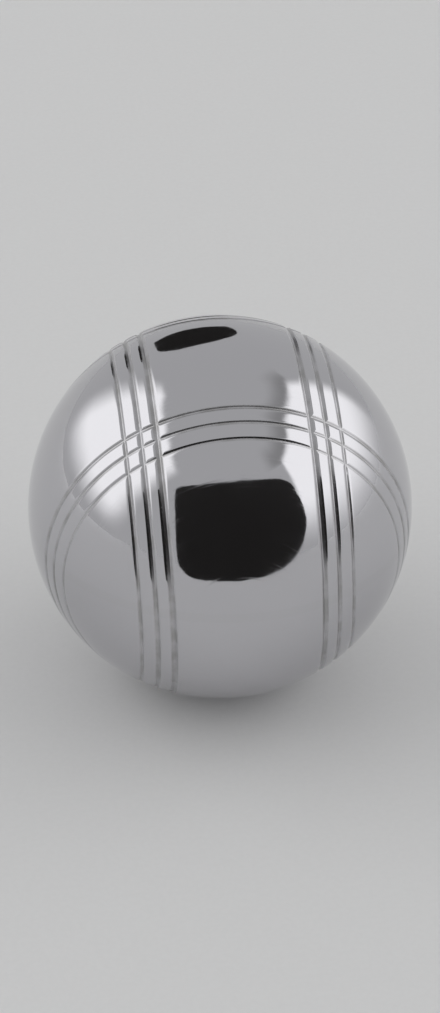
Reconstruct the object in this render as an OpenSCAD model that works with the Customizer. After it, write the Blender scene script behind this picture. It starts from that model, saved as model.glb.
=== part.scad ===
// Filled steel boule for play on gravel: two pressed half shells, welded and filled,
// closed with a flush plug, then turned with crossed bands of shallow grooves.
// The origin is the centre of the ball, and +Z points up.

/* [Ball] */
// Outside diameter of the finished ball
ball_d = 73; // [70.5:0.5:80]
// Thickness of the pressed steel shells
wall = 2.5; // [2:0.1:4]

/* [Grooves] */
// Width at the surface of the innermost groove of a band, in the first pair of bands
groove_w = 1.4; // [0.8:0.1:2]
// Depth of the innermost groove of a band, in the first pair of bands
groove_depth = 0.4; // [0.2:0.05:0.7]
// Width and depth of each groove of a band, as a share of the one on its inner side
outward_share = 0.8; // [0.75:0.05:1]
// Width and depth of the grooves of the crossing pair, as a share of the first pair's
crossing_share = 0.7; // [0.5:0.05:0.7]
// Number of grooves side by side in a band
band_grooves = 3; // [1:1:4]
// Distance from one groove to the next, along the band's axis
groove_pitch = 2.9; // [2.4:0.1:4]
// Distance between the two bands that share an axis, middle to middle
band_spacing = 34; // [26:0.5:40]
// Distance that each pair of bands lies off the centre of the ball
band_shift = 1.5; // [0:0.1:4]
// Angle that the crossed pattern is tipped about X, as the ball lies
pattern_tip = 6.5; // [0:0.5:45]
// Angle that the crossed pattern is tipped about Y, as the ball lies
pattern_roll = 3; // [0:0.5:45]

/* [Weld] */
// Width of the flat rim on which the shells meet, inside the weld
weld_land = 0.8; // [0.4:0.1:1.2]
// Angle of the bevel on each shell's rim
weld_bevel = 30; // [20:1:40]

/* [Filling] */
// Gap that the filling leaves all round as it sets and shrinks
filling_gap = 0.1; // [0.05:0.05:0.5]

/* [Fill plug] */
// Diameter of the plug that closes the fill hole
plug_d = 8; // [5:0.5:12]
// Clearance round the plug in its hole
plug_clearance = 0.02; // [0.01:0.01:0.1]
// Distance that the plug reaches past the shell into the filling
plug_reach = 1.5; // [0.5:0.1:3]
// Chamfer on the plug's inner end, which leads it into the hole
plug_chamfer = 0.4; // [0.2:0.1:0.5]
// Angle of the plug from the bottom of the ball, towards +Y
plug_angle = 14; // [0:1:30]

/* [Hidden] */
$fn = 192;
// Distance that every cutter runs past what it cuts
overrun = 2;

// Radius of the ball, and of the hollow inside its shells
ball_r = ball_d / 2;
hollow_r = ball_r - wall;
// Radius at which every cutter of the surface ends
cutter_r = ball_r + overrun;
// Half width of the V of every groove, for each unit of its height
groove_flare = groove_w / 2 / groove_depth;
// Radius at which the weld begins, and its half width at the end of its cutter
weld_root_r = hollow_r + weld_land;
weld_half_w = (cutter_r - weld_root_r) * tan(weld_bevel);
// Radius and inner end of the plug, measured from the centre of the ball
plug_r = plug_d / 2;
plug_end_r = hollow_r - plug_reach;

// A ring of V section, square to the surface, at the given distance along the band's axis
module groove(place, depth) {
    half_w = (depth + overrun) * groove_flare;
    rotate_extrude()
        rotate(asin(place / ball_r))
            polygon([
                [ball_r - depth, 0],
                [cutter_r, half_w],
                [cutter_r, -half_w]
            ]);
}

// The two bands that share the Z axis of this module, with innermost grooves of this depth
module band_pair(depth) {
    for (side = [-1, 1], i = [0 : band_grooves - 1])
        groove(
            side * (band_spacing / 2 + (i - (band_grooves - 1) / 2) * groove_pitch) + band_shift,
            depth * pow(outward_share, i)
        );
}

// Cuts the crossed pattern into a piece, one pair of bands after the other.
// Each ring begins and ends at the bottom of the ball, clear of the weld.
module grooved() {
    difference() {
        difference() {
            children();
            rotate([pattern_tip, -pattern_roll, 0])
                rotate([0, 90, 0])
                    band_pair(groove_depth);
        }
        rotate([pattern_tip, -pattern_roll, 0])
            rotate([-90, 90, 0])
                band_pair(groove_depth * crossing_share);
    }
}

// The V between the bevelled rims of the shells
module weld_section() {
    rotate_extrude()
        polygon([
            [weld_root_r, 0],
            [cutter_r, weld_half_w],
            [cutter_r, -weld_half_w]
        ]);
}

// A cylinder on the plug's axis, from the given radius out past the surface
module plug_bore(radius, from_r) {
    rotate([plug_angle, 0, 0])
        translate([0, 0, -cutter_r])
            cylinder(r = radius, h = cutter_r - from_r);
}

// Half of the hollow ball, on the side of +Z or -Z
module half_shell(side) {
    grooved()
        difference() {
            intersection() {
                sphere(r = ball_r);
                translate([0, 0, side * cutter_r])
                    cube(2 * cutter_r, center = true);
            }
            sphere(r = hollow_r);
            weld_section();
        }
}

module upper_shell() {
    color("gainsboro")
        half_shell(1);
}

// The lower shell has the hole through which the ball was filled
module lower_shell() {
    color("lightgray")
        difference() {
            half_shell(-1);
            plug_bore(plug_r + plug_clearance, plug_end_r);
        }
}

// Weld metal, ground flush with the shells
module weld_seam() {
    color("silver")
        grooved()
            intersection() {
                sphere(r = ball_r);
                weld_section();
            }
}

// Sand and cement, set hard inside the shells
module filling() {
    color("darkgray")
        difference() {
            sphere(r = hollow_r - filling_gap);
            plug_bore(plug_r + filling_gap, plug_end_r - filling_gap);
        }
}

// Plain steel plug, driven in and ground to the ball's surface
module fill_plug() {
    color("silver")
        grooved()
            intersection() {
                sphere(r = ball_r);
                union() {
                    plug_bore(plug_r, plug_end_r + plug_chamfer);
                    rotate([plug_angle, 0, 0])
                        translate([0, 0, -plug_end_r - plug_chamfer])
                            cylinder(r1 = plug_r, r2 = plug_r - plug_chamfer, h = plug_chamfer);
                }
            }
}

upper_shell();
lower_shell();
weld_seam();
filling();
fill_plug();
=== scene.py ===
# The finish of a filled petanque boule in polished chrome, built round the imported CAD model:
# two welded half shells with crossed bands of grooves, the weld, the fill plug and the filling.
# Lengths are in metres, +Z points up, and the origin is the centre of the ball.
import math

import bpy
import numpy as np
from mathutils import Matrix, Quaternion, Vector
from mathutils.geometry import delaunay_2d_cdt
from mathutils.noise import noise as perlin


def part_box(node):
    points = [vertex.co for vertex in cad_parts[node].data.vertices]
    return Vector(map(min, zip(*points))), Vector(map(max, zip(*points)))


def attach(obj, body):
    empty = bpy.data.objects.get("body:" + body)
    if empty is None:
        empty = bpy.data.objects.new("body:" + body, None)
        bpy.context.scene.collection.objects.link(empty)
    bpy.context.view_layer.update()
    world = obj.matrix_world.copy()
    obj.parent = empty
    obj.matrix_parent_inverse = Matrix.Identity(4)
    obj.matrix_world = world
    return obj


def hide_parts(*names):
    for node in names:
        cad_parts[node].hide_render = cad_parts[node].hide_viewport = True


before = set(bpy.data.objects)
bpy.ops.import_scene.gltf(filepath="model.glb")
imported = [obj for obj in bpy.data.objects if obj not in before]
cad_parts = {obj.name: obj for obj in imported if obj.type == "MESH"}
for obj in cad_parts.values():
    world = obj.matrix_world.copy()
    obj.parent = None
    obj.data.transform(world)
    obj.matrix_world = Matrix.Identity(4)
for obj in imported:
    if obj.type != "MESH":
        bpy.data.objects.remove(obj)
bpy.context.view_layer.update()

# Ball, shells and filling: the radii come from the frame
BALL_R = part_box("upper_shell")[1].z
FILLING_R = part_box("filling")[1].z
FILLING_GAP = 0.0001
HOLLOW_R = FILLING_R + FILLING_GAP

# Grooves, on two crossed axes with two bands each. The depths are those of each axis's innermost
# grooves, and each groove of a band is shallower than the one on its inner side. The slope is the
# tangent of the walls' angle. It is a little steeper than that of the plain V, as the edges are
# rounded. The bottoms, the edges and the crossings each have a rounding of their own.
GROOVE_SLOPE = 0.63
GROOVE_DEPTHS = (0.0004, 0.00028)
OUTWARD_SHARE = 0.8
GROOVE_BOTTOM_ROUND = 0.00010
GROOVE_SHOULDER = 0.00022
CROSSING_ROUND = 0.00004
BAND_GROOVES = 3
GROOVE_PITCH = 0.0029
BAND_SPACING = 0.034
BAND_SHIFT = 0.0015
PATTERN_TIP = math.radians(6.5)
PATTERN_ROLL = math.radians(3)

# Weld between the shells
WELD_LAND = 0.0008
WELD_BEVEL = math.radians(30)
WELD_ROOT_R = HOLLOW_R + WELD_LAND

# Fill plug
PLUG_R = 0.004
PLUG_CLEARANCE = 0.00002
PLUG_REACH = 0.0015
PLUG_CHAMFER = 0.0004
PLUG_ANGLE = math.radians(14)
PLUG_AXIS = np.array([0, math.sin(PLUG_ANGLE), -math.cos(PLUG_ANGLE)])

# Rough surface of the filling: waves and pits to a radius of the ball, their depths, and the step
# from one point to the next
CORE_WAVES = 9
CORE_FINER = 3.1
CORE_SWELL = 1.1
CORE_RELIEF = 0.00012
CORE_PITS = 22
CORE_PITS_PLACE = Vector((7, 3, 5))
CORE_PITS_LEVEL = 0.35
CORE_PITS_SLOPE = 4
CORE_PIT_DEPTH = 0.0005
CORE_STEP = 0.0009

# Points on the surfaces. Rows of points run along each groove, out to the reach on both sides of
# its middle, and a few more in the gap to the next groove. The steps are distances between points.
GROOVE_REACH = 0.00112
GROOVE_ROWS = 15
GAP_ROWS = 2
BAND_STEP = 0.00045
PLAIN_STEP = 0.0008
INNER_STEP = 0.0013
# Least distance of a point from an edge of the outer surface
EDGE_MARGIN = 0.00012
# Points round each edge, rows of points across the weld, and rings of points on the plug's cap
WELD_RING = 1600
WELD_ROWS = 9
INNER_RING = 400
PLUG_RING = 160
PLUG_CAP_RINGS = 24
# Points in the same cell of a grid of this size are joined
MERGE_DISTANCE = 1e-7
# The least length that counts in a division, and in the triangulation
NEARLY_ZERO = 1e-9


def unit(vectors):
    """The vectors at length 1."""
    return vectors / np.linalg.norm(vectors, axis=-1, keepdims=True)


def pattern_matrix():
    """The pattern's three axes as columns: tipped about X, then rolled about Y."""
    c, s = math.cos(PATTERN_TIP), math.sin(PATTERN_TIP)
    tip = np.array([[1, 0, 0], [0, c, -s], [0, s, c]])
    c, s = math.cos(PATTERN_ROLL), -math.sin(PATTERN_ROLL)
    roll = np.array([[c, 0, s], [0, 1, 0], [-s, 0, c]])
    return roll @ tip


PATTERN = pattern_matrix()


def band_angles():
    """For each of the two bands on an axis, the latitudes of its grooves."""
    middle = (BAND_GROOVES - 1) / 2
    bands = []
    for side in (-1, 1):
        places = [
            side * BAND_SPACING / 2 + BAND_SHIFT + (i - middle) * GROOVE_PITCH
            for i in range(BAND_GROOVES)
        ]
        bands.append(np.arcsin(np.array(places) / BALL_R))
    return bands


def band_shares():
    """For both bands on an axis, the depths of the grooves as shares of the innermost one's."""
    outward = OUTWARD_SHARE ** np.arange(BAND_GROOVES)
    return [outward[::-1], outward]


def smooth_max(a, b, width):
    """The larger of a and b, rounded where they meet, and the weight of a in its slope."""
    near = np.maximum(width - np.abs(a - b), 0) / width
    weight = np.where(a > b, 1 - near / 2, near / 2)
    return np.maximum(a, b) + near * near * width / 4, weight


def groove_on_axis(local, axis):
    """Depth of the V under the surface at the nearest groove on an axis, and its gradient."""
    angle = np.arcsin(np.clip(local[:, axis], -1, 1))
    arcs = (angle[:, None] - np.concatenate(band_angles())[None, :]) * BALL_R
    nearest = np.abs(arcs).argmin(1)
    arc = arcs[np.arange(len(arcs)), nearest]
    reach = np.hypot(arc, GROOVE_BOTTOM_ROUND)
    full = GROOVE_DEPTHS[axis] * np.concatenate(band_shares())[nearest]
    depth = full - GROOVE_SLOPE * (reach - GROOVE_BOTTOM_ROUND)
    across = np.zeros((len(local), 3))
    across[:, axis] = 1
    across -= local * local[:, axis:axis + 1]
    across /= np.maximum(np.linalg.norm(across, axis=1, keepdims=True), NEARLY_ZERO)
    return depth, -GROOVE_SLOPE * (arc / reach)[:, None] * across


def grooved(directions):
    """Points of the finished surface in these directions, their normals, and depths as shares."""
    local = directions @ PATTERN
    depth_x, slope_x = groove_on_axis(local, 0)
    depth_y, slope_y = groove_on_axis(local, 1)
    depth, weight = smooth_max(depth_x, depth_y, CROSSING_ROUND)
    slope = slope_x * weight[:, None] + slope_y * (1 - weight[:, None])
    depth, weight = smooth_max(depth, np.zeros(len(depth)), GROOVE_SHOULDER)
    radius = BALL_R - depth
    slope = (slope @ PATTERN.T) * (weight * BALL_R / radius)[:, None]
    return directions * radius[:, None], unit(directions + slope), depth / max(GROOVE_DEPTHS)


def band_rows(angles):
    """Latitudes of the rows of points across one band, closer together over its grooves."""
    across = np.linspace(-GROOVE_REACH, GROOVE_REACH, GROOVE_ROWS) / BALL_R
    rows = [angle + across for angle in angles]
    gaps = [np.linspace(a[-1], b[0], GAP_ROWS + 2)[1:-1] for a, b in zip(rows, rows[1:])]
    return np.sort(np.concatenate(rows + gaps))


def in_bands(local, axis, margin):
    """True where a direction lies in a band on this axis, or within the margin of it."""
    angle = np.arcsin(np.clip(local[:, axis], -1, 1))
    found = np.zeros(len(local), bool)
    for angles in band_angles():
        rows = band_rows(angles)
        found |= (angle > rows[0] - margin / BALL_R) & (angle < rows[-1] + margin / BALL_R)
    return found


def band_points(axis):
    """Directions along both bands on an axis, apart from where the other axis's bands cross them."""
    found = []
    other = 1 - axis
    for angles in band_angles():
        around = int(2 * math.pi * BALL_R * math.cos(angles.mean()) / BAND_STEP)
        turn = np.arange(around) * 2 * math.pi / around
        for row in band_rows(angles):
            points = np.zeros((around, 3))
            points[:, axis] = math.sin(row)
            points[:, other] = math.cos(row) * np.cos(turn)
            points[:, 2] = math.cos(row) * np.sin(turn)
            found.append(points[~in_bands(points, other, BAND_STEP / 2)])
    return np.concatenate(found)


def crossing_points():
    """Directions on a grid at each crossing of two bands, on both sides of the ball."""
    found = []
    for angles_x in band_angles():
        for angles_y in band_angles():
            rows_x, rows_y = np.sin(band_rows(angles_x)), np.sin(band_rows(angles_y))
            x, y = np.meshgrid(rows_x, rows_y)
            z = np.sqrt(1 - x * x - y * y)
            for side in (-1, 1):
                found.append(np.stack([x.ravel(), y.ravel(), side * z.ravel()], 1))
    return np.concatenate(found)


def even_points(step, radius):
    """Directions spread evenly over the whole ball, about a step apart at this radius."""
    count = int(4 * math.pi * radius**2 / (step**2 * math.sqrt(3) / 2))
    k = np.arange(count)
    z = 1 - (2 * k + 1) / count
    turn = k * math.pi * (3 - math.sqrt(5))
    ring = np.sqrt(1 - z * z)
    return np.stack([ring * np.cos(turn), ring * np.sin(turn), z], 1)


def surface_points():
    """Directions of all points of the outer surface, dense over the grooves."""
    plain = even_points(PLAIN_STEP, BALL_R)
    for axis in (0, 1):
        plain = plain[~in_bands(plain, axis, PLAIN_STEP / 2)]
    local = np.concatenate([plain, band_points(0), band_points(1), crossing_points()])
    return local @ PATTERN.T


def axis_frame(axis):
    """Two directions square to an axis and to each other."""
    first = unit(np.cross(axis, [1, 0, 0] if abs(axis[0]) < 0.5 else [0, 1, 0]))
    return first, np.cross(axis, first)


def ring(axis, radius, height, count):
    """Points on a circle round an axis through the origin, at this height along it."""
    first, second = axis_frame(axis)
    turn = np.arange(count)[:, None] * 2 * math.pi / count
    return radius * (np.cos(turn) * first + np.sin(turn) * second) + height * axis


def ball_ring(axis, radius, ball_radius, count):
    """The circle in which a cylinder of this radius round the axis leaves a ball."""
    return ring(axis, radius, math.sqrt(ball_radius**2 - radius**2), count)


def weld_edge(side):
    """Directions of the edge between a shell and the weld, on the side of +Z or -Z."""
    # The bevel leaves the ball where (root + out)**2 + (out * slope)**2 is the radius squared
    slope = math.tan(WELD_BEVEL)
    a, b, c = 1 + slope**2, 2 * WELD_ROOT_R, WELD_ROOT_R**2 - BALL_R**2
    out = (math.sqrt(b * b - 4 * a * c) - b) / (2 * a)
    up = np.array([0, 0, 1.0])
    return unit(ring(up, WELD_ROOT_R + out, side * out * slope, WELD_RING))


def triangulate(directions, pole):
    """Delaunay triangles of directions on a cap round a pole, as seen from the other pole."""
    first, second = axis_frame(pole)
    scale = 1 + directions @ pole
    flat = np.stack([directions @ first / scale, directions @ second / scale], 1)
    out = delaunay_2d_cdt([Vector(p) for p in flat], [], [], 0, NEARLY_ZERO)
    origin = np.array([ids[0] for ids in out[3]])
    return origin[np.array(out[2])]


def facing(points, faces, normals):
    """The faces, each turned so that its corners run round its normal."""
    corners = points[faces]
    cross = np.cross(corners[:, 1] - corners[:, 0], corners[:, 2] - corners[:, 0])
    wrong = (cross * normals[faces[:, 0]]).sum(1) < 0
    faces[wrong] = faces[wrong][:, ::-1]
    return faces


def sheet(points, faces, normals, share=None):
    """One smooth stretch of a piece's surface: points, faces, normals and groove depths."""
    faces = facing(points, np.array(faces), normals)
    share = np.zeros(len(points)) if share is None else share
    return points, faces, normals, share


def strip(upper, lower, normals_upper, normals_lower):
    """A band of quads between two rings with as many points each."""
    count = len(upper)
    here = np.arange(count)
    after = (here + 1) % count
    faces = np.stack([here, after, after + count, here + count], 1)
    points = np.concatenate([upper, lower])
    return sheet(points, faces, np.concatenate([normals_upper, normals_lower]))


def flat_step(outer, inner, normal):
    """Triangles of a flat annulus between two rings, of which the outer one has more points."""
    ratio = len(outer) // len(inner)
    faces = []
    for k in range(len(outer)):
        after = (k + 1) % len(outer)
        near = len(outer) + (k + ratio // 2) // ratio % len(inner)
        faces.append((k, after, near))
        near_after = len(outer) + (k + 1 + ratio // 2) // ratio % len(inner)
        if near_after != near:
            faces.append((near, after, near_after))
    points = np.concatenate([outer, inner])
    return sheet(points, faces, np.tile(normal, (len(points), 1)))


def cap_sheet(directions, pole, radius, inward=False, hole=None):
    """The part of a ball on these directions. A hole leaves out what lies nearer its axis."""
    faces = triangulate(directions, pole)
    if hole is not None:
        axis, cosine = hole
        middle = unit(directions[faces].mean(1))
        faces = faces[middle @ axis < cosine]
    if inward:
        return sheet(directions * radius, faces, -directions)
    points, normals, share = grooved(directions)
    return sheet(points, faces, normals, share)


def half_shell(side):
    """The surfaces of one half shell, on the side of +Z or -Z."""
    up = np.array([0, 0, 1.0])
    edge = weld_edge(side)
    directions = surface_points()
    directions = directions[side * directions[:, 2] > side * edge[0, 2] + EDGE_MARGIN / BALL_R]
    inner_ring = ring(up, HOLLOW_R, 0, INNER_RING)
    inner = even_points(INNER_STEP, HOLLOW_R)
    inner = inner[side * inner[:, 2] > INNER_STEP / 2 / HOLLOW_R]
    outer_hole, inner_hole, bores = None, None, []
    outer_rings, inner_rings = [edge], [inner_ring / HOLLOW_R]
    if side < 0:
        # The lower shell has the bore for the plug
        hole_r = PLUG_R + PLUG_CLEARANCE
        outside = ball_ring(PLUG_AXIS, hole_r, BALL_R, PLUG_RING)
        inside = ball_ring(PLUG_AXIS, hole_r, HOLLOW_R, PLUG_RING)
        outer_hole = (PLUG_AXIS, math.cos(math.asin(hole_r / BALL_R)))
        inner_hole = (PLUG_AXIS, math.cos(math.asin(hole_r / HOLLOW_R)))
        angle = np.arccos(directions @ PLUG_AXIS)
        directions = directions[angle > math.asin(hole_r / BALL_R) + EDGE_MARGIN / BALL_R]
        angle = np.arccos(inner @ PLUG_AXIS)
        inner = inner[angle > math.asin(hole_r / HOLLOW_R) + INNER_STEP / 2 / HOLLOW_R]
        outer_rings.append(outside / BALL_R)
        inner_rings.append(inside / HOLLOW_R)
        to_axis = -ring(PLUG_AXIS, 1, 0, PLUG_RING)
        bores = [strip(grooved(outside / BALL_R)[0], inside, to_axis, to_axis)]
    root = ring(up, WELD_ROOT_R, 0, WELD_RING)
    out = root / WELD_ROOT_R
    bevel = math.sin(WELD_BEVEL) * out - side * math.cos(WELD_BEVEL) * up
    return [
        cap_sheet(np.concatenate([directions, *outer_rings]), side * up, BALL_R, hole=outer_hole),
        strip(grooved(edge)[0], root, bevel, bevel),
        flat_step(root, inner_ring, -side * up),
        cap_sheet(np.concatenate([inner, *inner_rings]), side * up, HOLLOW_R, True, inner_hole),
        *bores,
    ]


def weld_bead():
    """The surfaces of the weld: a grooved strip outside, and two cones that meet at the root."""
    up = np.array([0, 0, 1.0])
    edges = {side: weld_edge(side) for side in (-1, 1)}
    root = ring(up, WELD_ROOT_R, 0, WELD_RING)
    out = root / WELD_ROOT_R
    rows = [unit(edges[-1] * (1 - t) + edges[1] * t) for t in np.linspace(0, 1, WELD_ROWS)]
    sheets = []
    for lower, upper in zip(rows, rows[1:]):
        low, high = grooved(lower), grooved(upper)
        points, faces, normals, _ = strip(low[0], high[0], low[1], high[1])
        sheets.append((points, faces, normals, np.concatenate([low[2], high[2]])))
    for side, edge in edges.items():
        bevel = side * math.cos(WELD_BEVEL) * up - math.sin(WELD_BEVEL) * out
        sheets.append(strip(grooved(edge)[0], root, bevel, bevel))
    return sheets


def disc_fan(rim, centre, normal):
    """A flat disc of triangles from a ring to its centre."""
    count = len(rim)
    faces = [(k, (k + 1) % count, count) for k in range(count)]
    return sheet(np.concatenate([rim, [centre]]), faces, np.tile(normal, (count + 1, 1)))


def plug_body():
    """The surfaces of the fill plug: its cap in the ball's surface, its side, chamfer and end."""
    tilts = np.linspace(0, math.asin(PLUG_R / BALL_R), PLUG_CAP_RINGS + 1)[1:]
    rings = [unit(ring(PLUG_AXIS, math.sin(t), math.cos(t), PLUG_RING)) for t in tilts]
    directions = np.concatenate([*rings, [PLUG_AXIS]])
    points, normals, share = grooved(directions)
    here = np.arange(PLUG_RING)
    after = (here + 1) % PLUG_RING
    quads = [
        np.stack([k * PLUG_RING + here, k * PLUG_RING + after,
                  (k + 1) * PLUG_RING + after, (k + 1) * PLUG_RING + here], 1)
        for k in range(PLUG_CAP_RINGS - 1)
    ]
    middle = [(k, (k + 1) % PLUG_RING, len(directions) - 1) for k in range(PLUG_RING)]
    end_height = HOLLOW_R - PLUG_REACH
    out = ring(PLUG_AXIS, 1, 0, PLUG_RING)
    low = ring(PLUG_AXIS, PLUG_R, end_height + PLUG_CHAMFER, PLUG_RING)
    end = ring(PLUG_AXIS, PLUG_R - PLUG_CHAMFER, end_height, PLUG_RING)
    lead = unit(out - PLUG_AXIS)
    return [
        sheet(points, np.concatenate(quads), normals, share),
        sheet(points, middle, normals, share),
        strip(points[-PLUG_RING - 1:-1], low, out, out),
        strip(low, end, lead, lead),
        disc_fan(end, PLUG_AXIS * end_height, -PLUG_AXIS),
    ]


def rough_ball(directions):
    """Points of the filling's surface: a ball with hollows and pits, inside its full radius."""
    depths = []
    for direction in directions:
        coarse = perlin(Vector(direction * CORE_WAVES))
        fine = perlin(Vector(direction * CORE_WAVES * CORE_FINER))
        hollow = CORE_RELIEF * (CORE_SWELL - (coarse + fine / 2)) / 2
        pits = perlin(Vector(direction * CORE_PITS) + CORE_PITS_PLACE)
        pit = min(1, max(0, pits - CORE_PITS_LEVEL) * CORE_PITS_SLOPE)
        depths.append(hollow + CORE_PIT_DEPTH * pit)
    return directions * (FILLING_R - np.clip(depths, 0, None))[:, None]


def soft_normals(points, faces):
    """Normals of the points, as the mean of the faces round each of them."""
    corners = points[faces]
    cross = np.cross(corners[:, 1] - corners[:, 0], corners[:, 2] - corners[:, 0])
    cross *= np.sign((cross * corners[:, 0]).sum(1))[:, None]
    normals = np.zeros_like(points)
    for corner in range(3):
        np.add.at(normals, faces[:, corner], cross)
    return unit(normals)


def core_body():
    """The surfaces of the filling: a rough ball with the well round the fill plug."""
    well_r = PLUG_R + FILLING_GAP
    floor_at = HOLLOW_R - PLUG_REACH - FILLING_GAP
    rim = ball_ring(PLUG_AXIS, well_r, FILLING_R, PLUG_RING)
    low = ring(PLUG_AXIS, well_r, floor_at, PLUG_RING)
    directions = even_points(CORE_STEP, FILLING_R)
    angle = np.arccos(np.clip(directions @ PLUG_AXIS, -1, 1))
    directions = directions[angle > math.asin(well_r / FILLING_R) + CORE_STEP / 2 / FILLING_R]
    faces = triangulate(np.concatenate([directions, rim / FILLING_R]), -PLUG_AXIS)
    points = np.concatenate([rough_ball(directions), rim])
    to_axis = -ring(PLUG_AXIS, 1, 0, PLUG_RING)
    return [
        sheet(points, faces, soft_normals(points, faces)),
        strip(rim, low, to_axis, to_axis),
        disc_fan(low, PLUG_AXIS * floor_at, PLUG_AXIS),
    ]


def make_piece(name, sheets, node, material):
    """Joins the sheets into one closed mesh with exact normals, which stands for a CAD node."""
    start, points, faces, corners, shares = 0, [], [], [], []
    for sheet_points, sheet_faces, normals, share in sheets:
        points.append(sheet_points)
        shares.append(share)
        corners.append(normals[sheet_faces.ravel()])
        faces.append(sheet_faces + start)
        start += len(sheet_points)
    keys = np.round(np.concatenate(points) / MERGE_DISTANCE).astype(np.int64)
    _, first, merged = np.unique(keys, axis=0, return_index=True, return_inverse=True)
    merged = merged.ravel()
    used = np.unique(np.concatenate([merged[f].ravel() for f in faces]))
    place = np.zeros(len(first), int)
    place[used] = np.arange(len(used))
    mesh = bpy.data.meshes.new(name)
    kept = np.concatenate(points)[first][used]
    mesh.from_pydata(kept.tolist(), [], [face for f in faces for face in place[merged[f]].tolist()])
    mesh.attributes.new("groove", "FLOAT", "POINT")
    mesh.attributes["groove"].data.foreach_set("value", np.concatenate(shares)[first][used])
    mesh.polygons.foreach_set("use_smooth", np.ones(len(mesh.polygons), bool))
    mesh.normals_split_custom_set(np.concatenate(corners).tolist())
    mesh.materials.append(material)
    piece = bpy.data.objects.new(name, mesh)
    bpy.context.scene.collection.objects.link(piece)
    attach(piece, "root")
    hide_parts(node)
    return piece


# Chrome. Each noise has a scale, in waves to a metre, and a detail.
WAVES = (90.0, 1.0)
RIPPLES = (420.0, 1.0)
GRAIN = (3200.0, 3.0)
MARKS = (75.0, 5.0)
# Noise of the grime and painted shade in the grooves
GRIME_AND_SHADE = (260.0, 3.0)
# The marks, and the grime with painted shade, grow between these levels of their noise. The dull
# finish of the grooves and the painted shade down in them grow between these shares of the deepest
# groove's depth
MARKS_RISE = (0.52, 0.72)
GRIME_AND_SHADE_RISE = (0.35, 0.7)
TURNED_AND_SHADE_RISE = (0.06, 0.4)
# Least and greatest share of grime and painted shade in a groove's colour, and the colour of that
# grime and painted shade
GRIME_AND_SHADE_SHARES = (0.2, 0.65)
GRIME_AND_SHADE_COLOUR = (0.30, 0.295, 0.285)
# What each adds to the roughness
MARKS_ROUGHNESS = 0.045
GRAIN_ROUGHNESS = 0.02
SCRATCH_ROUGHNESS = 0.07
TURNED_ROUGHNESS = 0.24
# Depth of the waves, and of the grain and the hairlines as shares of it
CHROME_RELIEF = 0.00007
GRAIN_HEIGHT = 0.006
SCRATCH_DEPTH = 0.006
# Hairlines: turn, length, breadth, and the level of the noise from which they show
HAIRLINES = (
    ((0.4, 0.9, 0.2), 0.011, 0.00016, 0.66),
    ((2.1, 0.3, 1.3), 0.008, 0.00012, 0.67),
    ((1.2, 1.9, 2.6), 0.014, 0.00022, 0.68),
)
HAIRLINE_RISE = 0.08
# Each chromed piece's tint, roughness and ripples, the last as a share of the waves' depth
SHELL_FINISH = ((0.592, 0.587, 0.612), 0.035, 0.10)
WELD_FINISH = ((0.583, 0.578, 0.6), 0.05, 0.22)
PLUG_FINISH = ((0.58, 0.575, 0.597), 0.06, 0.16)

# Mortar: cement between grains of sand, each in two shades, with a fine grain over both
SAND_CELLS = 900.0
SAND_RISE = (0.25, 0.5)
SAND_DEPTH = 0.5
SAND_SHADES = ((0.30, 0.24, 0.17), (0.52, 0.47, 0.39))
CEMENT_CLOUDS = (160.0, 4.0)
CEMENT_SHADES = ((0.23, 0.22, 0.20), (0.36, 0.35, 0.32))
CEMENT_GRAIN = (2400.0, 4.0)
MORTAR_ROUGHNESS = 0.9
MORTAR_RELIEF = 0.0002
MORTAR_RELIEF_STRENGTH = 0.6


def new_material(name):
    """An empty node material, its node tree, and its shader."""
    material = bpy.data.materials.new(name)
    material.use_nodes = True
    return material, material.node_tree, material.node_tree.nodes["Principled BSDF"]


def feed(tree, node, inputs):
    """Gives a node its inputs. Each is a plain value or the socket that feeds it."""
    for name, value in inputs.items():
        if isinstance(value, bpy.types.NodeSocket):
            tree.links.new(value, node.inputs[name])
        else:
            node.inputs[name].default_value = value


def put(tree, kind, inputs, **settings):
    """A new node of this kind, with these settings and inputs."""
    made = tree.nodes.new("ShaderNode" + kind)
    for name, value in settings.items():
        setattr(made, name, value)
    feed(tree, made, inputs)
    return made


def maths(tree, operation, first, second):
    """The result of a sum on two values or sockets."""
    return put(tree, "Math", {0: first, 1: second}, operation=operation).outputs[0]


def noise(tree, place, scale, detail):
    """Noise of this many waves to a metre."""
    inputs = {"Vector": place, "Scale": scale, "Detail": detail}
    return put(tree, "TexNoise", inputs).outputs["Fac"]


def mix(tree, share, first, second, blend="MIX"):
    """Two colours mixed, with this share of the second. Each is a plain colour or a socket."""
    ends = [c if isinstance(c, bpy.types.NodeSocket) else (*c, 1) for c in (first, second)]
    inputs = {0: share, 6: ends[0], 7: ends[1]}
    return put(tree, "Mix", inputs, data_type="RGBA", blend_type=blend).outputs[2]


def between(tree, value, low, high, to_low=0.0, to_high=1.0):
    """The value, stretched from low and high to two other levels, and held there beyond them."""
    inputs = {0: value, 1: low, 2: high, 3: to_low, 4: to_high}
    return put(tree, "MapRange", inputs, interpolation_type="SMOOTHSTEP").outputs[0]


def total(tree, parts):
    """The sum of several sockets, each with its own weight."""
    result = None
    for socket, weight in parts:
        part = maths(tree, "MULTIPLY", socket, weight)
        result = part if result is None else maths(tree, "ADD", result, part)
    return result


def hairlines(tree, place, turn, length, breadth, low):
    """Sparse thin arcs of this length and breadth, where noise drawn out along them is high."""
    scale = (1 / length, 1 / breadth, 1 / length)
    turned_and_shaded = put(tree, "Mapping", {"Vector": place, "Rotation": turn, "Scale": scale}).outputs[0]
    return between(tree, noise(tree, turned_and_shaded, 1.0, 1.0), low, low + HAIRLINE_RISE)


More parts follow.
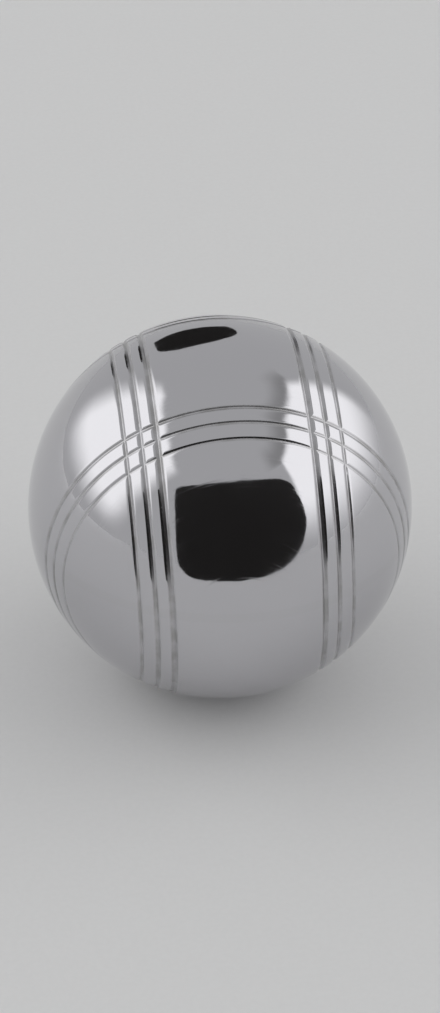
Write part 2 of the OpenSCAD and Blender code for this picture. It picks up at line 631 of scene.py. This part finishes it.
def chrome(name, tint, roughness, ripple):
    """Polished chrome with faint waves, hairlines and handling marks. Down in the grooves it is
    duller, and grime with painted shade darkens its colour.
    """
    material, tree, shader = new_material(name)
    place = put(tree, "TexCoord", {}).outputs["Object"]
    groove = put(tree, "Attribute", {}, attribute_name="groove").outputs["Fac"]
    waves = noise(tree, place, *WAVES)
    ripples = noise(tree, place, *RIPPLES)
    grain = noise(tree, place, *GRAIN)
    marks = between(tree, noise(tree, place, *MARKS), *MARKS_RISE)
    lines = [hairlines(tree, place, *line) for line in HAIRLINES]
    scratches = maths(tree, "MAXIMUM", maths(tree, "MAXIMUM", lines[0], lines[1]), lines[2])
    # The share of a groove's depth: it gives the duller finish down in the grooves and the mask of
    # the painted shade there
    turned_and_shaded = between(tree, groove, *TURNED_AND_SHADE_RISE)
    rough = total(tree, [
        (marks, MARKS_ROUGHNESS),
        (grain, GRAIN_ROUGHNESS),
        (scratches, SCRATCH_ROUGHNESS),
        (turned_and_shaded, TURNED_ROUGHNESS),
    ])
    # Grime and painted shade: a darker, greyer colour down in the grooves, deeper with the depth and
    # patchy by noise
    grime_and_shade = between(tree, noise(tree, place, *GRIME_AND_SHADE), *GRIME_AND_SHADE_RISE, *GRIME_AND_SHADE_SHARES)
    height = total(tree, [
        (waves, 1.0),
        (ripples, ripple),
        (grain, GRAIN_HEIGHT),
        (scratches, -SCRATCH_DEPTH),
    ])
    bump = put(tree, "Bump", {"Height": height, "Strength": 1.0, "Distance": CHROME_RELIEF})
    feed(tree, shader, {
        "Base Color": mix(tree, maths(tree, "MULTIPLY", grime_and_shade, turned_and_shaded), tint, GRIME_AND_SHADE_COLOUR),
        "Metallic": 1.0,
        "Roughness": maths(tree, "ADD", rough, roughness),
        "Normal": bump.outputs[0],
    })
    return material


def mortar(name):
    """Set mortar: grey cement with grains of sand."""
    material, tree, shader = new_material(name)
    place = put(tree, "TexCoord", {}).outputs["Object"]
    cells = put(tree, "TexVoronoi", {"Vector": place, "Scale": SAND_CELLS})
    sand = between(tree, cells.outputs["Distance"], *SAND_RISE)
    shade = put(tree, "SeparateColor", {0: cells.outputs["Color"]}).outputs[0]
    cement = mix(tree, noise(tree, place, *CEMENT_CLOUDS), *CEMENT_SHADES)
    grains = mix(tree, shade, *SAND_SHADES)
    height = total(tree, [(sand, -SAND_DEPTH), (noise(tree, place, *CEMENT_GRAIN), 1.0)])
    relief = {"Height": height, "Strength": MORTAR_RELIEF_STRENGTH, "Distance": MORTAR_RELIEF}
    feed(tree, shader, {
        "Base Color": mix(tree, sand, grains, cement),
        "Roughness": MORTAR_ROUGHNESS,
        "Normal": put(tree, "Bump", relief).outputs[0],
    })
    return material


# Studio. Directions are in degrees of azimuth and elevation, as seen from the ball.
STUDIO_R = 2.5
WORLD_COLOUR = (0.99, 0.995, 1)
WORLD_LEVEL = 0.53
FLOOR_HALF = 1.75
FLOOR_COLOUR = (0.74, 0.74, 0.74)
# Fine grain and finish of the floor and the dark cards
MATTE_GRAIN = (900.0, 4.0)
MATTE_RISE = (0.3, 0.7)
MATTE_SHADES = (0.985, 1.0)
MATTE_ROUGHNESS = 0.85
MATTE_SPECULAR = 0.2

# Glowing panels, and the angles that each spans. An edge is a list of angles, its places at them,
# and half the breadth of its soft border. Back and front edges go by elevation, top and low ones
# by azimuth.
PANEL_STEP = 1.5
SOFTBOX_LEVEL = 1.35
LEFT_SPAN = ((-160, -34), (-1, 66))
LEFT_EDGES = {
    "back": ([0], [-138.5], 9),
    "front": ([6, 22, 40, 48], [-73, -68, -57, -49], 9),
    "top": ([-150, -130, -94, -70, -45], [48, 57, 61, 58, 48], 2),
    "low": ([-140, -110, -80], [7, 10, 8], 8),
}
RIGHT_SPAN = ((32, 142), (-1, 62))
RIGHT_EDGES = {
    "back": ([0], [130], 4),
    "front": ([-2, 18, 33, 47], [38, 46, 49, 51], 1.5),
    "top": ([50, 88, 110, 135], [48.5, 57.5, 54, 45], 2),
    "low": ([45, 60, 80], [14, 11, 7], 14),
}
# Dim strip along the right softbox's top edge: its ends, its breadth, and its soft borders
SHADE_LEVEL = 0.33
SHADE_DISTANCE = STUDIO_R * 1.05
SHADE_SPAN = ((30, 150), (40, 76))
SHADE_ENDS = (40, 140)
SHADE_BREADTH = 9
SHADE_LOW_SOFT = 1
SHADE_TOP_SOFT = 6
SHADE_END_SOFT = 8

# Dark cards, square to Y. Each corner has its X, its Z and the radius of its arc, in metres.
FLAG_COLOUR = (0.020, 0.0185, 0.0175)
ARC_POINTS = 17
FRONT_Y = -0.18
FRONT_CORNERS = (
    (-0.147, 0.194, 0.014),
    (0, 0.194, 0.07),
    (0.179, 0.209, 0.038),
    (0.188, -0.012, 0.136),
    (-0.089, -0.023, 0.042),
)
BACK_Y = 2.5
BACK_CORNERS = (
    (-0.48, 0.61, 0.04),
    (-0.17, 0.445, 0.6),
    (0.355, 0.445, 0.05),
    (0.755, 1.235, 0.7),
    (-0.08, 1.6, 0.6),
    (-0.83, 1.6, 0.38),
)

# Camera: its place, its roll, and the width of the ball in the picture
CAMERA_FROM = np.array([-0.0657, -0.5121, 0.3464])
CAMERA_ROLL = math.radians(1.1)
IMAGE_SIZE = (440, 1013)
BALL_PIXELS = 384
SENSOR_MM = 36


def panel_light(name, level):
    """Light that fades out towards a panel's border, where the glow attribute falls to 0."""
    material, tree, shader = new_material(name)
    tree.nodes.remove(shader)
    share = put(tree, "Attribute", {}, attribute_name="glow").outputs["Fac"]
    clear = put(tree, "BsdfTransparent", {}).outputs[0]
    light = put(tree, "Emission", {"Strength": level}).outputs[0]
    mixed = put(tree, "MixShader", {0: share, 1: clear, 2: light}).outputs[0]
    tree.links.new(mixed, tree.nodes["Material Output"].inputs["Surface"])
    return material


def matte(name, colour):
    """A matte surface with a fine grain."""
    material, tree, shader = new_material(name)
    place = put(tree, "TexCoord", {}).outputs["Object"]
    grain = between(tree, noise(tree, place, *MATTE_GRAIN), *MATTE_RISE, *MATTE_SHADES)
    feed(tree, shader, {
        "Base Color": mix(tree, 1.0, colour, grain, "MULTIPLY"),
        "Roughness": MATTE_ROUGHNESS,
        "Specular IOR Level": MATTE_SPECULAR,
    })
    return material


def aim(azimuth, elevation, distance):
    """The point at this distance from the ball. Azimuth 0 is in front, and 90 on the right."""
    a, e = np.radians(azimuth), np.radians(elevation)
    level = np.cos(e)
    return np.stack([np.sin(a) * level, -np.cos(a) * level, np.sin(e)], -1) * distance


def stage_mesh(name, points, faces, material, seen=False):
    """A staged surface. Only its light and its reflection count, unless it is seen."""
    mesh = bpy.data.meshes.new(name)
    mesh.from_pydata([tuple(float(x) for x in p) for p in points], [], faces)
    mesh.materials.append(material)
    staged = bpy.data.objects.new(name, mesh)
    bpy.context.scene.collection.objects.link(staged)
    staged.visible_camera = seen
    return staged


def rise(value, half):
    """A soft step from 0 at minus half to 1 at half."""
    t = np.clip(value / (2 * half) + 0.5, 0, 1)
    return t * t * (3 - 2 * t)


def span_grid(azimuths, elevations):
    """The directions of a panel's points, as a grid of azimuths and one of elevations."""
    return np.meshgrid(np.arange(*azimuths, PANEL_STEP), np.arange(*elevations, PANEL_STEP))


def softbox_glow(azimuth, elevation, edges, side):
    """Glow of the softbox on the left, for side -1, or on the right, for side 1."""
    glow = 1
    for key, sign, value, along in (
        ("back", -side, azimuth, elevation),
        ("front", side, azimuth, elevation),
        ("top", -1, elevation, azimuth),
        ("low", 1, elevation, azimuth),
    ):
        angles, places, half = edges[key]
        glow = glow * rise(sign * (value - np.interp(along, angles, places)), half)
    return glow


def shade_glow(azimuth, elevation):
    """Glow of the dim strip along the right softbox's upper edge."""
    angles, places, _ = RIGHT_EDGES["top"]
    above = elevation - np.interp(azimuth, angles, places)
    across = rise(above, SHADE_LOW_SOFT) * rise(SHADE_BREADTH - above, SHADE_TOP_SOFT)
    start, end = SHADE_ENDS
    return across * rise(azimuth - start, SHADE_END_SOFT) * rise(end - azimuth, SHADE_END_SOFT)


def panel(name, grid, glow, material, distance=STUDIO_R):
    """A panel curved round the ball, on a grid of directions, with this glow over it."""
    rows, columns = grid[0].shape
    start = (np.arange(rows - 1)[:, None] * columns + np.arange(columns - 1)).ravel()
    faces = np.stack([start, start + 1, start + columns + 1, start + columns], 1).tolist()
    made = stage_mesh(name, aim(*grid, distance).reshape(-1, 3), faces, material)
    made.data.attributes.new("glow", "FLOAT", "POINT")
    made.data.attributes["glow"].data.foreach_set("value", glow.ravel())


def rounded(corners):
    """Points along the outline through these corners, each turned into an arc of its radius."""
    places, radii = np.split(np.array(corners), [2], 1)
    back = unit(np.roll(places, 1, 0) - places)
    ahead = unit(np.roll(places, -1, 0) - places)
    half = np.arccos(np.sum(back * ahead, 1, keepdims=True)) / 2
    centres = places + unit(back + ahead) * radii / np.sin(half)
    reach = radii / np.tan(half)
    starts, ends = places + back * reach - centres, places + ahead * reach - centres
    share = np.linspace(0, 1, ARC_POINTS)[:, None]
    ways = unit(starts[:, None] * (1 - share) + ends[:, None] * share)
    return (centres[:, None] + radii[:, None] * ways).reshape(-1, 2)


def flag(name, corners, y, material):
    """A dark card with this outline, which only reflections show."""
    points = [(x, y, z) for x, z in rounded(corners)]
    card = stage_mesh(name, points, [list(range(len(points)))], material)
    card.visible_diffuse = False
    card.visible_shadow = False


def build_studio():
    """Pale floor, even world, a softbox on each side with a dim strip, and two dark cards."""
    world = bpy.data.worlds.new("studio")
    bpy.context.scene.world = world
    world.use_nodes = True
    background = world.node_tree.nodes["Background"]
    background.inputs["Color"].default_value = (*WORLD_COLOUR, 1)
    background.inputs["Strength"].default_value = WORLD_LEVEL
    corners = [
        (x * FLOOR_HALF, y * FLOOR_HALF, -BALL_R) for x, y in ((-1, -1), (1, -1), (1, 1), (-1, 1))
    ]
    stage_mesh("floor", corners, [[0, 1, 2, 3]], matte("floor_paper", FLOOR_COLOUR), True)
    light = panel_light("softbox", SOFTBOX_LEVEL)
    left, right, shade = span_grid(*LEFT_SPAN), span_grid(*RIGHT_SPAN), span_grid(*SHADE_SPAN)
    panel("softbox_left", left, softbox_glow(*left, LEFT_EDGES, -1), light)
    panel("softbox_right", right, softbox_glow(*right, RIGHT_EDGES, 1), light)
    dim = panel_light("shade", SHADE_LEVEL)
    panel("shade_right", shade, shade_glow(*shade), dim, SHADE_DISTANCE)
    dark = matte("flag", FLAG_COLOUR)
    flag("flag_front", FRONT_CORNERS, FRONT_Y, dark)
    flag("flag_back", BACK_CORNERS, BACK_Y, dark)


def build_camera():
    """The camera at the photograph's angle to the ball, with the ball across most of the frame."""
    data = bpy.data.cameras.new("camera")
    distance = np.linalg.norm(CAMERA_FROM)
    half = math.asin(BALL_R / distance)
    data.sensor_width = SENSOR_MM
    data.lens = BALL_PIXELS / 2 / math.tan(half) / max(IMAGE_SIZE) * SENSOR_MM
    camera = bpy.data.objects.new("camera", data)
    camera.location = CAMERA_FROM
    facing_ball = Vector(-CAMERA_FROM).to_track_quat("-Z", "Y")
    camera.rotation_euler = (facing_ball @ Quaternion((0, 0, 1), CAMERA_ROLL)).to_euler()
    bpy.context.scene.collection.objects.link(camera)
    bpy.context.scene.camera = camera


shell_chrome = chrome("shell_chrome", *SHELL_FINISH)
weld_chrome = chrome("weld_chrome", *WELD_FINISH)
plug_chrome = chrome("plug_chrome", *PLUG_FINISH)
set_mortar = mortar("mortar")
make_piece("shell_upper", half_shell(1), "upper_shell", shell_chrome)
make_piece("shell_lower", half_shell(-1), "lower_shell", shell_chrome)
make_piece("weld", weld_bead(), "weld_seam", weld_chrome)
make_piece("plug", plug_body(), "fill_plug", plug_chrome)
make_piece("core", core_body(), "filling", set_mortar)
build_studio()
build_camera()
bpy.context.scene.view_settings.view_transform = "Standard"
